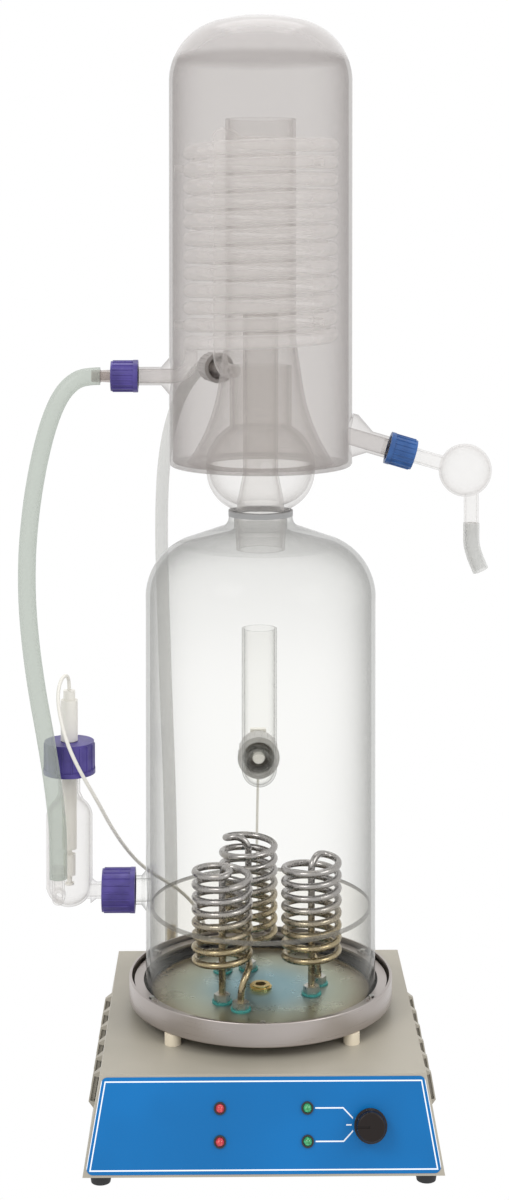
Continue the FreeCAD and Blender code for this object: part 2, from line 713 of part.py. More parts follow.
def make_tray():
    floor = pipe(V(0, 0, TRAY_BOTTOM_Z), Z_AXIS, TRAY_RADIUS, TOP_HOLE_RADIUS, TRAY_FLOOR)
    height = TRAY_TOP_Z - TRAY_BOTTOM_Z
    wall = pipe(V(0, 0, TRAY_BOTTOM_Z), Z_AXIS, TRAY_RADIUS, TRAY_RADIUS - TRAY_WALL, height)
    tray = floor.fuse(wall).removeSplitter()
    rims = []
    for edge in tray.Edges:
        outer = abs(edge.BoundBox.XLength - 2 * TRAY_RADIUS) < 0.1
        if outer and edge.BoundBox.ZLength < 0.01:
            rims.append(edge)
    tray = tray.makeFillet(0.8, rims)
    holes = []
    spacers = []
    screws = []
    for spot in spacers_at():
        base = spot + V(0, 0, HOUSING_TOP_Z)
        holes.append(rod(base, Z_AXIS, SPACER_BORE, 20))
        spacers.append(pipe(base, Z_AXIS, SPACER_RADIUS, SPACER_BORE, TRAY_BOTTOM_Z - HOUSING_TOP_Z))
        head = rod(base - V(0, 0, SHEET + 2.4), Z_AXIS, 2 * SPACER_BORE - 0.6, 2.4)
        stem = rod(base - V(0, 0, SHEET), Z_AXIS, SPACER_BORE - SCREW_FIT, PLATE_BOTTOM_Z - HOUSING_TOP_Z + SHEET - CLEAR)
        screws.append(head.fuse(stem))
    nodes["clamp_tray"] = tray.cut(Part.makeCompound(holes))
    group("standoff_spacers", spacers)
    group("spacer_screws", screws)


def make_boiler_floor():
    plate = rod(V(0, 0, PLATE_BOTTOM_Z), Z_AXIS, PLATE_RADIUS, PLATE_THICK)
    dish = rod(V(0, 0, PLATE_TOP_Z - 1.0), Z_AXIS, GASKET_INNER - 1.5, 2)
    plate = plate.cut(dish)
    holes = [rod(V(0, 0, 70), Z_AXIS, DRAIN_BORE + 2, 40)]
    for spot in heater_terminals():
        holes.append(rod(spot + V(0, 0, 70), Z_AXIS, HEATER_TUBE + SCREW_FIT, 40))
    screws = []
    heads = []
    for i in range(CLIP_COUNT):
        spot = polar(CLIP_RADIUS, 30.0 + 360.0 * i / CLIP_COUNT)
        holes.append(rod(spot + V(0, 0, 70), Z_AXIS, 1.5 + SCREW_FIT, 40))
        lug = Part.makeBox(4.0, 9.0, 1.6, V(-2.2, -4.5, RETAINER_Z + RETAINER))
        lug.Placement = FreeCAD.Placement(V(spot.x, spot.y, 0), FreeCAD.Rotation(Z_AXIS, 30.0 + 360.0 * i / CLIP_COUNT))
        heads.append(lug)
        top = RETAINER_Z + RETAINER + 1.6
        head = rod(spot + V(0, 0, top), Z_AXIS, 2.0, 1.6)
        screws.append(head.fuse(rod(spot + V(0, 0, PLATE_BOTTOM_Z + 0.5), Z_AXIS, 1.5, top - PLATE_BOTTOM_Z - 0.5)))
    drill = Part.makeCompound(holes)
    nodes["boiler_plate"] = plate.cut(drill)
    nodes["boiler_gasket"] = pipe(V(0, 0, PLATE_TOP_Z), Z_AXIS, FLANGE_RADIUS, GASKET_INNER, GASKET)
    ring = pipe(V(0, 0, RETAINER_Z), Z_AXIS, PLATE_RADIUS, RETAINER_INNER, RETAINER)
    nodes["retaining_ring"] = ring.multiFuse(heads).cut(drill)
    group("retaining_screws", screws)
    dish_z = PLATE_TOP_Z - 1.0
    bush = rod(V(0, 0, dish_z), Z_AXIS, DRAIN_BORE + 4.5, 1.6).fuse(rod(V(0, 0, 60), Z_AXIS, DRAIN_BORE + 2 - SCREW_FIT, dish_z - 60 + 1))
    bush = bush.fuse(hexagon(V(0, 0, PLATE_BOTTOM_Z - 4), Z_AXIS, DRAIN_BORE + 6, 4))
    bush = bush.fuse(pipe(V(0, 0, dish_z + 1.6), Z_AXIS, DRAIN_BORE + 3.2, DRAIN_BORE, 1.6))
    nodes["drain_bush"] = bush.cut(rod(V(0, 0, 50), Z_AXIS, DRAIN_BORE, 60))
    cutout = rod(V(0, -56, PLATE_BOTTOM_Z - 9), Z_AXIS, 8.5, 9).fuse(Part.makeBox(8, 24, 1.2, V(-4, -68, PLATE_BOTTOM_Z - 4)))
    cutout = cutout.fuse(Part.makeBox(3, 1, 7, V(-5, -56, PLATE_BOTTOM_Z - 16)))
    nodes["thermal_cutout"] = cutout.fuse(Part.makeBox(3, 1, 7, V(2, -56, PLATE_BOTTOM_Z - 16)))


def make_heaters():
    nuts = []
    washers = []
    dish_z = PLATE_TOP_Z - 1.0
    end_z = PLATE_BOTTOM_Z - TERMINAL_DROP
    for name, angle in HEATER_ANGLES.items():
        centre = polar(HEATER_RING_RADIUS, angle)
        foot = centre + polar(HEATER_LEG_RADIUS, angle + 90.0)
        turns = helix(centre, HEATER_COIL_RADIUS, HEATER_PITCH, HEATER_TURNS, HEATER_BOTTOM_Z, angle + 130.0)
        top = turns[-1][0].z
        over = centre + V(0, 0, top - HEATER_COIL_RADIUS * 0.35)
        stops = [(foot + V(0, 0, end_z + 1), Z_AXIS), (foot + V(0, 0, dish_z + 8), Z_AXIS)]
        stops += turns
        stops += [(over, Z_AXIS * -1), (centre + V(0, 0, end_z + 1), Z_AXIS * -1)]
        edges = joined(stops)
        gap = least_self_gap(edges, HEATER_TUBE, 4 * HEATER_TUBE)
        print(f"{name}: least gap to itself {gap:.2f}")
        nodes[name] = swept(edges, HEATER_TUBE, stops[0][0], Z_AXIS)
        for spot in (centre, foot):
            hole = rod(spot + V(0, 0, 60), Z_AXIS, HEATER_TUBE + SCREW_FIT, 60)
            washers.append(rod(spot + V(0, 0, dish_z), Z_AXIS, WASHER_RADIUS, WASHER).cut(hole))
            nuts.append(hexagon(spot + V(0, 0, dish_z + WASHER), Z_AXIS, NUT_RADIUS, NUT_HEIGHT).cut(hole))
            nuts.append(hexagon(spot + V(0, 0, PLATE_BOTTOM_Z - 4), Z_AXIS, NUT_RADIUS, 4).cut(hole))
    group("heater_nuts", nuts)
    group("heater_washers", washers)


def screw_port(base, axis, kind, cap_start, waist, root_radius, flare, through, cap_name):
    """The glass of a screwed port and its bore, and where the neck ends. Its cap becomes a node."""
    neck_end = cap_start + kind["long"] - CAP_WALL - 0.3 - SEAL
    place = aimed(base, axis)
    outer = spun([(0, -4), (root_radius, -4), (root_radius, 0), (waist, flare), (waist, cap_start - 1),
                  (kind["thread"], cap_start + 3), (kind["thread"], neck_end), (0, neck_end)], place)
    bore = spun([(0, -8), (kind["bore"], -8), (kind["bore"], neck_end + 1), (0, neck_end + 1)], place)
    start = base + axis * cap_start
    body_radius = kind["cap"] - 1.0
    cap = rod(start, axis, body_radius, kind["long"])
    cap = cap.fuse(rod(start, axis, kind["cap"], 3.6))
    ribs = []
    across = FreeCAD.Rotation(Z_AXIS, axis)
    for i in range(CAP_RIBS):
        spot = across.multVec(polar(body_radius, 360.0 * i / CAP_RIBS))
        ribs.append(rod(start + spot + axis * 3.0, axis, CAP_RIB_RADIUS, kind["long"] - 4.4))
    cap = cap.multiFuse(ribs)
    cap = cap.cut(rod(start - axis, axis, kind["thread"] + CAP_FIT, kind["long"] - CAP_WALL + 1))
    cap = cap.cut(rod(start, axis, through + 0.08, kind["long"] + 5))
    nodes[cap_name] = cap
    face = base + axis * neck_end
    seals.append(pipe(face, axis, kind["thread"], through + 0.05, SEAL))
    return outer, bore, face


def make_bell():
    r = BELL_RADIUS
    w = BELL_WALL
    s = BELL_SHOULDER_Z
    n = BELL_NECK_RADIUS
    outer = spun([(0, FLANGE_Z), (FLANGE_RADIUS, FLANGE_Z), (FLANGE_RADIUS, RETAINER_Z), (r + 0.8, RETAINER_Z),
                  ("arc", r + 0.2, RETAINER_Z + 0.6, r, RETAINER_Z + 2), (r, s),
                  ("arc", r - DOME_MIDDLE_IN, s + DOME_MIDDLE_RISE, r - DOME_IN, s + DOME_RISE),
                  (n + 6, BELL_NECK_Z - 9), ("arc", n + 1.4, BELL_NECK_Z - 6, n, BELL_NECK_Z), (0, BELL_NECK_Z)])
    k = r - w
    cone = CONE_RADIUS + CLEAR
    inner = spun([(0, FLANGE_Z - 1), (k, FLANGE_Z - 1), (k, s),
                  ("arc", k - DOME_MIDDLE_IN + 0.6, s + DOME_MIDDLE_RISE - 2, k - DOME_IN + 1.6, s + DOME_RISE - 2.7),
                  (cone + 4, BELL_NECK_Z - 13), (cone, BELL_NECK_Z - 10), (cone, BELL_NECK_Z + 1), (0, BELL_NECK_Z + 1)])
    left = V(-1, 0, 0)
    side_base = V(-r, 0, SIDE_PORT_Z)
    start = -VESSEL_X - VESSEL_RADIUS - GL25["long"] - 7.5 - r
    side, side_bore, side_face = screw_port(side_base, left, GL25, start, GL25["bore"] + 2.2, 15.0, 3.5,
                                            ARM_RADIUS, "side_port_cap")
    back = polar(1, REAR_PORT_ANGLE)
    back_base = back * r + V(0, 0, REAR_PORT_Z)
    rear, rear_bore, rear_face = screw_port(back_base, back, GL25, 10.0, GL25["bore"] + 2.2, 14.0, 4.0,
                                            5.0, "rear_port_cap")
    foot = V(0, INNER_TUBE_Y, REAR_PORT_Z)
    rise = INNER_TUBE_TOP_Z - REAR_PORT_Z
    tube = rod(foot, Z_AXIS, INNER_TUBE_RADIUS, rise).fuse(Part.makeSphere(INNER_TUBE_RADIUS, foot))
    hollow = rod(foot, Z_AXIS, INNER_TUBE_RADIUS - GLASS, rise + 1)
    hollow = hollow.fuse(Part.makeSphere(INNER_TUBE_RADIUS - GLASS, foot))
    stub = rod(foot, back, GL25["bore"] + 2.2, r - INNER_TUBE_Y - w / 2)
    stub_bore = rod(foot, back, GL25["bore"], r - INNER_TUBE_Y + 4)
    bell = outer.multiFuse([side, rear]).cut(inner)
    bell = bell.fuse(tube.fuse(stub))
    nodes["boiler_bell"] = bell.cut(side_bore).cut(rear_bore).cut(hollow).cut(stub_bore)
    nodes["neck_seal"] = pipe(V(0, 0, BELL_NECK_Z), Z_AXIS, NECK_SEAL_RADIUS, CONE_RADIUS + 0.1, NECK_SEAL)
    make_rear_sensor(back, rear_face)
    return side_face


def make_rear_sensor(back, face):
    stem = rod(face - back * 20, back, 5.0 - 0.05, 20 + SEAL + CAP_WALL + 2)
    head_start = face + back * (SEAL + CAP_WALL + 0.8)
    head = rod(head_start, back, 8.0, 6.0)
    cross = Part.makeBox(13, 6, 20, V(-6.5, head_start.y, head_start.z - 3))
    gland = rod(V(0, head_start.y + 3, head_start.z - 11), Z_AXIS, 2.2, 8)
    nodes["vapour_sensor"] = stem.fuse(head).fuse(cross).fuse(gland)
    return head_start


def make_vessel(side_face):
    r = VESSEL_RADIUS
    g = GLASS
    waist = 8.3
    b = VESSEL_BOTTOM_Z
    s = VESSEL_SHOULDER_Z
    cap_start = VESSEL_TOP_Z + CAP_WALL + 0.3 + SEAL - GL32["long"]
    outer = spun([(0, b), ("dome", r, b + 14), (r, s - 9), ("arc", r - 2.6, s - 2.2, r - 6.5, s + 2),
                  (waist, s + 8), (waist, cap_start - 2), (GL32["thread"] - 1.5, cap_start + 3),
                  (GL32["thread"], cap_start + 4), (GL32["thread"], VESSEL_TOP_Z), (0, VESSEL_TOP_Z)])
    k = r - g
    v = waist - g
    inner = spun([(0, b + g), ("dome", k, b + 14), (k, s - 9),
                  ("arc", k - 2.4, s - 2.8, k - 6.0, s + 0.8), (v, s + 7), (v, cap_start + 1),
                  (GL32["bore"], cap_start + 4), (GL32["bore"], VESSEL_TOP_Z + 1), (0, VESSEL_TOP_Z + 1)])
    at = V(VESSEL_X, 0, 0)
    outer.translate(at)
    inner.translate(at)
    right = V(1, 0, 0)
    centre = V(VESSEL_X, 0, SIDE_PORT_Z)
    reach = side_face.x - VESSEL_X + 12
    arm = rod(centre, right, ARM_RADIUS, reach)
    arm = arm.fuse(Part.makeCone(ARM_RADIUS + 3.2, ARM_RADIUS, 4.2, centre + right * (r - 1.2), right))
    arm_bore = rod(centre, right, ARM_RADIUS - g, reach + 1)
    tip = vessel_nozzle_at()
    front = V(tip.x, 0, SIDE_PORT_Z + 3)
    out = V(0, -1, 0)
    corner = V(tip.x, tip.y, SIDE_PORT_Z + 3)
    spout = rod(front, out, NOZZLE_RADIUS, -tip.y).fuse(Part.makeSphere(NOZZLE_RADIUS, corner))
    spout = spout.fuse(rod(corner, Z_AXIS, NOZZLE_RADIUS, tip.z - corner.z))
    spout_bore = rod(front, out, NOZZLE_BORE, -tip.y).fuse(Part.makeSphere(NOZZLE_BORE, corner))
    spout_bore = spout_bore.fuse(rod(corner, Z_AXIS, NOZZLE_BORE, tip.z - corner.z + 1))
    vessel = outer.multiFuse([arm, spout]).cut(inner).cut(arm_bore).cut(spout_bore)
    nodes["level_vessel"] = vessel
    _, _, face = screw_port(at + V(0, 0, 0), Z_AXIS, GL32, cap_start, waist, waist, 0.5, ROD_RADIUS - 0.9,
                            "vessel_cap")
    stem_radius = ROD_RADIUS - 0.9
    body = rod(at + V(0, 0, ROD_BOTTOM_Z), Z_AXIS, stem_radius, VESSEL_TOP_Z + 12 - ROD_BOTTOM_Z)
    body = body.fuse(rod(at + V(0, 0, VESSEL_TOP_Z + SEAL + CAP_WALL + 0.8), Z_AXIS, ROD_RADIUS, ROD_TOP_Z - VESSEL_TOP_Z - 12))
    body = body.fuse(rod(at + V(0, 0, ROD_TOP_Z - 9), Z_AXIS, ROD_RADIUS - 2, 9))
    body = body.fuse(rod(at + V(0, 0, STEM_END_Z), Z_AXIS, STEM_RADIUS, ROD_BOTTOM_Z - STEM_END_Z))
    stop = rod(at + V(0, 0, STEM_END_Z - 1.5), Z_AXIS, STEM_RADIUS + 1.6, 1.5)
    nodes["level_sensor"] = body.fuse(stop)
    float_body = pipe(at + V(0, 0, FLOAT_Z), Z_AXIS, FLOAT_RADIUS, STEM_RADIUS + 0.08, FLOAT_HEIGHT)
    nodes["level_float"] = float_body


def vessel_nozzle_at():
    """The top of the upturned nozzle in front of the level vessel."""
    return V(VESSEL_X - 6.0, -28.4, SIDE_PORT_Z + 27.0)


def hose_nozzle(face, axis, radius, hole, reach):
    """A flanged hose tail, held against the seal by its cap."""
    start = face + axis * (SEAL + 0.02)
    flange = rod(start - axis * SEAL, axis, radius, SEAL)
    tail = barb(start, axis, reach, radius)
    hose_tails.append(flange.fuse(tail).cut(rod(start - axis * 5, axis, hole, reach + 10)))
    return start + axis * reach


def make_condenser():
    r = JACKET_RADIUS
    w = JACKET_WALL
    s = JACKET_SHOULDER_Z
    t = JACKET_TOP_Z
    b = JACKET_BOTTOM_Z
    outer = spun([(0, b), (r - 3, b), ("arc", r - 0.9, b + 0.9, r, b + 3), (r, s),
                  ("arc", r - 9.0, s + 29.0, r - 32.0, t - 5.5), ("dome", 0, t)])
    k = r - w
    inner = spun([(0, b + w), (k - 2, b + w), ("arc", k - 0.6, b + w + 0.6, k, b + w + 2), (k, s),
                  ("arc", k - 8.6, s + 27.4, k - 30.6, t - 7.9), ("dome", 0, t - w)])
    mouth = rod(V(0, 0, b - 1), Z_AXIS, TRAP_RADIUS + CLEAR, w + 2)
    shell = outer.cut(inner).cut(mouth)
    ports = []
    bores = []
    ends = {}
    for angle, word, radius, hole in ((LEFT_PORT_ANGLE, "left", NOZZLE_RADIUS, NOZZLE_BORE),
                                      (BACK_PORT_ANGLE, "rear", BARB_RADIUS, BARB_BORE)):
        axis = polar(1, angle)
        base = axis * r + V(0, 0, COIL_PORT_Z)
        port, bore, face = screw_port(base, axis, GL18, COIL_PORT_REACH - r, 7.0, 14.0, 6.0, radius,
                                      f"jacket_{word}_cap")
        ports.append(port.cut(inner))
        bores.append(bore)
        ends[word] = hose_nozzle(face, axis, radius, hole, NOZZLE_REACH)
    root = V(r, 0, OUTLET_ROOT_Z)
    start = OUTLET_CAP_START - r
    port, bore, face = screw_port(root, OUTLET_AXIS, GL18, start, GL18["thread"] - 0.6, 17.5, 14.0,
                                  OUTLET_TUBE_RADIUS, "outlet_cap")
    ports.append(port.cut(inner))
    bores.append(rod(root - OUTLET_AXIS * 8, OUTLET_AXIS, OUTLET_TUBE_RADIUS + 0.5, 80))
    for port, bore in zip(ports, bores):
        shell = shell.fuse(port).cut(bore)
    nodes["condenser_jacket"] = shell
    make_riser()
    make_coil()
    make_outlet(root, face)
    return ends


def make_riser():
    g = RISER_WALL
    foot = JACKET_BOTTOM_Z + JACKET_WALL
    low = RISER_LOW_Z
    far = RISER_FOOT_RADIUS
    near = RISER_LOW_RADIUS
    outer = spun([(near - g, foot), (far, foot), ("arc", near + 11.5, foot + 20, near, low), (RISER_RADIUS, low + 36),
                  (RISER_RADIUS, RISER_TOP_Z), (RISER_RADIUS - g, RISER_TOP_Z), (RISER_RADIUS - g, low + 36),
                  (near - g, low)])
    inner = spun([(0, foot - 1), (far - g, foot - 1), ("arc", near + 11.5 - g, foot + 19, near - g, low), (0, low)])
    nodes["condenser_riser"] = outer.cut(inner).removeSplitter()
    w = TRAP_WALL
    r = TRAP_RADIUS
    n = TRAP_NECK_RADIUS
    s = TRAP_SHOULDER_Z
    b = TRAP_BOTTOM_Z
    c = CONE_RADIUS
    end = CONE_END_Z
    seat = BELL_NECK_Z + NECK_SEAL
    skin = spun([(c - 1.5, end), (c, seat - 3), (c, seat), (c + 2.5, seat), (c + 2.5, seat + 1.6),
                 ("arc", r - 4, b + 10, r, b + 26), (r, s - 18), ("arc", r - 5, s - 6, n, s + 6), (n, TRAP_TOP_Z),
                 (n - w, TRAP_TOP_Z), (n - w, s + 5), ("arc", r - 5 - w, s - 8, r - w, s - 19), (r - w, b + 26),
                 ("arc", r - 6, b + 12, c - w, b), (c - w, seat - 3), (c - 1.5 - w, end)])
    nodes["splash_trap"] = skin
    t = TRAP_TUBE_RADIUS
    low = TRAP_TUBE_LOW_Z
    inner_end = c - w - 0.3
    tube = spun([(inner_end - 1.5, b - 4), (inner_end, b - 4), (inner_end, b + 2), (t, low + 8), (t, TRAP_TUBE_TOP_Z),
                 (t - GLASS, TRAP_TUBE_TOP_Z), (t - GLASS, low + 8), (inner_end - 1.5, b + 1)])
    nodes["trap_inner_tube"] = tube.cut(rod(V(4, -30, low + 14), V(0, 1, 0), 4.5, 30))


def make_coil():
    left = polar(1, LEFT_PORT_ANGLE)
    back = polar(1, BACK_PORT_ANGLE)
    port = V(0, 0, COIL_PORT_Z)
    turns = helix(V(0, 0, 0), COIL_RADIUS, COIL_PITCH, COIL_TURNS, COIL_BOTTOM_Z, COIL_START_ANGLE)
    top = turns[-1][0].z
    reach = COIL_PORT_REACH - 1
    bend = COIL_RADIUS - 0.5
    stops = [(left * reach + port, left * -1), (left * (bend + 13) + port, left * -1),
             (left * bend + port + V(0, 0, 13), Z_AXIS)]
    stops += turns
    stops += [(polar(46.0, RETURN_ANGLE - 12, top + 6), polar(1, RETURN_ANGLE + 80)),
              (polar(RETURN_RADIUS, RETURN_ANGLE, top - 10), Z_AXIS * -1),
              (polar(RETURN_RADIUS, RETURN_ANGLE, COIL_PORT_Z + 15), Z_AXIS * -1),
              (back * (COIL_RADIUS + 9) + port, back), (back * reach + port, back)]
    edges = joined(stops)
    gap = least_self_gap(edges, COIL_TUBE, 4 * COIL_TUBE)
    print(f"condenser_coil: least gap to itself {gap:.2f}")
    nodes["condenser_coil"] = swept(edges, COIL_TUBE, stops[0][0], stops[0][1])
    nibs = []
    inner = JACKET_RADIUS - JACKET_WALL
    outer_side = COIL_RADIUS + COIL_TUBE
    for index in (0, 9):
        for angle in (COIL_START_ANGLE, COIL_START_ANGLE + 120, COIL_START_ANGLE + 240):
            z = COIL_BOTTOM_Z + COIL_PITCH * ((angle - COIL_START_ANGLE) / 360.0 + 1 + index)
            nibs.append(rod(polar(outer_side + 0.3, angle, z), polar(1, angle), 3.0, inner - outer_side - 0.7))
    group("coil_spacers", nibs)


def make_outlet(root, face):
    """The bulb and its two tubes, in one piece of glass, and the short hose on its end."""
    r = OUTLET_TUBE_RADIUS
    g = OUTLET_TUBE_WALL
    along = (BULB_X - root.x) / OUTLET_AXIS.x
    bulb = root + OUTLET_AXIS * along
    back = (face - root).Length - 20
    start = root + OUTLET_AXIS * back
    tube = rod(start, OUTLET_AXIS, r, along - back)
    bore = rod(start - OUTLET_AXIS, OUTLET_AXIS, r - g, along - back + 1)
    ball = Part.makeSphere(BULB_RADIUS, bulb)
    hollow = Part.makeSphere(BULB_RADIUS - g, bulb)
    drop_top = V(DROP_X, 0, bulb.z - BULB_RADIUS * 0.6)
    length = drop_top.z - DROP_END_Z
    drop = rod(V(DROP_X, 0, DROP_END_Z), Z_AXIS, DROP_TUBE_RADIUS, length)
    drop_bore = rod(V(DROP_X, 0, DROP_END_Z - 1), Z_AXIS, DROP_TUBE_RADIUS - g, length + 2)
    tip = pipe(V(DROP_X, 0, DROP_END_Z - 10), Z_AXIS, DROP_TUBE_RADIUS - 1, DROP_TUBE_RADIUS - 1 - g, 10.0)
    glass = ball.multiFuse([tube, drop]).cut(hollow).cut(bore).cut(drop_bore)
    nodes["outlet_bulb"] = glass.fuse(tip)
    hose_start = DROP_END_Z - 0.3
    points = [V(DROP_X, 0, hose_start), V(DROP_X, 0, hose_start - 16), V(DROP_X + 2.8, 0, hose_start - 26),
              V(DROP_X + 7.2, 0, hose_start - 36)]
    cord("distillate_tube", points, DROP_TUBE_RADIUS + 0.5, DROP_TUBE_RADIUS - 1 + 0.1)


def make_cords(ends):
    z = COIL_PORT_Z
    tip = vessel_nozzle_at()
    start = ends["left"].x + HOSE_LAP
    cooling = [V(start, 0, z), V(start - 12.0, 0, z), V(-144.0, -0.5, 546.5), V(-152.2, -1.5, 536.5), V(-159.0, -2.5, 521.0),
               V(-164.6, -3.5, 502.0), V(-169.8, -4.5, 478.0), V(-174.0, -6.5, 450.0), V(-176.6, -9.5, 418.0),
               V(-176.4, -12.5, 384.0), V(-173.2, -16.0, 350.0), V(-168.0, -20.0, 316.0), V(-161.5, -24.5, 284.0),
               V(-156.0, -27.6, 252.0), V(tip.x - 0.4, tip.y, 219.0), V(tip.x, tip.y, 196.0), V(tip.x, tip.y, 178.5)]
    cord("cooling_hose", cooling, COOLING_HOSE_RADIUS, COOLING_HOSE_RADIUS - COOLING_HOSE_WALL)
    back = polar(1, BACK_PORT_ANGLE)
    mouth = ends["rear"] - back * HOSE_LAP
    elbow = V(ELBOW_X, back_y(REAR_FITTING_Z) + ELBOW_RUN, ELBOW_TOP_Z)
    supply = [mouth, mouth + back * 12, V(-49.8, 134.6, 547.0), V(-57.0, 141.0, 538.0), V(-64.5, 145.6, 525.0),
              V(-71.0, 148.0, 507.0), V(-76.0, 148.0, 486.0), V(-79.0, 146.0, 461.0), V(-80.2, 143.5, 430.0),
              V(-80.0, 141.0, 394.0), V(-78.8, 139.5, 355.0), V(-77.5, 138.0, 313.0), V(-76.0, 136.6, 268.0),
              V(-74.2, 136.2, 222.0), V(-73.0, 136.2, 180.0), V(-72.3, 136.3, 142.0), V(elbow.x, elbow.y, 106.0),
              V(elbow.x, elbow.y, elbow.z - 14.5)]
    cord("supply_hose", supply, SUPPLY_HOSE_RADIUS, SUPPLY_HOSE_RADIUS - SUPPLY_HOSE_WALL + 0.1)
    level = GROMMETS["level"]
    cable = [V(VESSEL_X, 0, ROD_TOP_Z), V(VESSEL_X, 0, 320.0), V(-147.0, -4.0, 325.5), V(-150.0, -10.0, 325.0),
             V(-152.6, -15.0, 318.0), V(-152.5, -19.0, 307.0), V(-149.5, -23.0, 293.0), V(-144.5, -25.2, 277.0),
             V(-137.5, -24.0, 261.0), V(-130.5, -18.0, 246.0), V(-123.0, -8.0, 229.0), V(-115.0, 8.0, 207.0),
             V(-105.0, 28.0, 184.0), V(-94.0, 48.0, 164.0), V(-80.0, 69.0, 147.0), V(-63.0, 88.0, 130.0),
             V(-49.0, 101.0, 110.0), V(level.x, level.y, 90.0), V(level.x, level.y, 74.5)]
    cord("sensor_cable", cable, SENSOR_CABLE_RADIUS)
    head = nodes["vapour_sensor"].BoundBox
    vapour = GROMMETS["vapour"]
    wire = [V(0, rear_gland_y, head.ZMin), V(0, rear_gland_y, head.ZMin - 12), V(-0.6, rear_gland_y - 0.5, 190.0),
            V(-1.2, rear_gland_y - 4.0, 160.0), V(-0.6, 119.0, 130.0), V(1.0, 111.0, 105.0),
            V(vapour.x, vapour.y, 88.0), V(vapour.x, vapour.y, 74.5)]
    cord("rear_sensor_cable", wire, REAR_CABLE_RADIUS)


def make_grommets():
    rings = []
    for name, radius in (("level", SENSOR_CABLE_RADIUS), ("vapour", REAR_CABLE_RADIUS)):
        spot = GROMMETS[name]
        ring = rod(spot + V(0, 0, HOUSING_TOP_Z), Z_AXIS, GROMMET_RADIUS, 3.5)
        ring = ring.fuse(rod(spot + V(0, 0, HOUSING_TOP_Z - SHEET - 1), Z_AXIS, GROMMET_RADIUS - 1.2, SHEET + 2))
        rings.append(ring)
        hole = rod(spot + V(0, 0, HOUSING_TOP_Z - 5), Z_AXIS, GROMMET_RADIUS - 1.2 + SCREW_FIT, 8)
        nodes["housing_shell"] = nodes["housing_shell"].cut(hole)
    group("cable_grommets", rings)


def build():
    """Makes every piece about the column axis."""
    global rear_gland_y
    make_housing()
    make_base_plate()
    make_panel()
    make_selector()
    make_electrics()
    make_water_inlet()
    make_tray()
    make_boiler_floor()
    make_heaters()
    side_face = make_bell()
    rear_gland_y = nodes["vapour_sensor"].BoundBox.YMax - 3.0
    make_vessel(side_face)
    ends = make_condenser()
    make_grommets()
    make_cords(ends)
    group("port_seals", seals)
    group("hose_nozzles", hose_tails)


CORDS = ["cooling_hose", "supply_hose", "distillate_tube", "sensor_cable", "rear_sensor_cable"]
rear_gland_y = 0.0
build()

# The origin goes under the middle of the object's box, cords left out
low = V(1e9, 1e9, 1e9)
high = V(-1e9, -1e9, -1e9)
for name, shape in nodes.items():
    if name not in CORDS:
        box = shape.optimalBoundingBox(False)
        low = V(min(low.x, box.XMin), min(low.y, box.YMin), min(low.z, box.ZMin))
        high = V(max(high.x, box.XMax), max(high.y, box.YMax), max(high.z, box.ZMax))
shift = V(-(low.x + high.x) / 2, -(low.y + high.y) / 2, -low.z)
print(f"shift {shift.x:.3f} {shift.y:.3f} {shift.z:.3f}, size {high.x - low.x:.1f} {high.y - low.y:.1f} {high.z - low.z:.1f}")

os.makedirs("parts", exist_ok=True)
for name, shape in nodes.items():
    moved = shape.copy()
    moved.translate(shift)
    moved.exportStep(f"parts/{name}.step")
print(f"{len(nodes)} parts")
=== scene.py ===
import bpy
import bmesh
import math
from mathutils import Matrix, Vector


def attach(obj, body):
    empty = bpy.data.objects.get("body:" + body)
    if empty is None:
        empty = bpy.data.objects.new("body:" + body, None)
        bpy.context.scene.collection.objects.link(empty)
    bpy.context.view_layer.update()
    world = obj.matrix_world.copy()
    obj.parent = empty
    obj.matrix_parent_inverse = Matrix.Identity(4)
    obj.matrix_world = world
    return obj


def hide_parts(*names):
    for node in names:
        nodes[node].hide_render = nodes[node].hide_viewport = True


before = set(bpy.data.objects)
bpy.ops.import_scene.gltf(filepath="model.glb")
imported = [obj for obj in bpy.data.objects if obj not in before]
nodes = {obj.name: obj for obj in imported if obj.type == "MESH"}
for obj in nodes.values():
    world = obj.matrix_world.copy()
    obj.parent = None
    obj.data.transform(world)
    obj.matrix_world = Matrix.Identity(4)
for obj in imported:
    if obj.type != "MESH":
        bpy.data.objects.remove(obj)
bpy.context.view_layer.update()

# The camera stands a little left of the middle, level with the lower part of the condenser,
# and its picture is shifted down to hold the base. Its place was fitted to the photograph.
# Light crosses many walls of glass, so it may pass many see-through surfaces.
PHOTO_TALL = 1200
FOCAL_PIXELS = 1974.8
TILT_DOWN = 0.968
TURN_RIGHT = 0.762
eye = bpy.data.cameras.new("eye")
eye.sensor_width = 36.0
eye.lens = FOCAL_PIXELS * eye.sensor_width / PHOTO_TALL
eye.shift_y = -0.28
camera = bpy.data.objects.new("camera", eye)
camera.location = (-0.02985, -1.49769, 0.66236)
camera.rotation_euler = (math.radians(90 - TILT_DOWN), 0, math.radians(-TURN_RIGHT))
bpy.context.scene.collection.objects.link(camera)
bpy.context.scene.camera = camera
bpy.context.scene.view_settings.view_transform = "Standard"
bpy.context.scene.cycles.transparent_max_bounces = 96
bpy.context.scene.cycles.max_bounces = 16


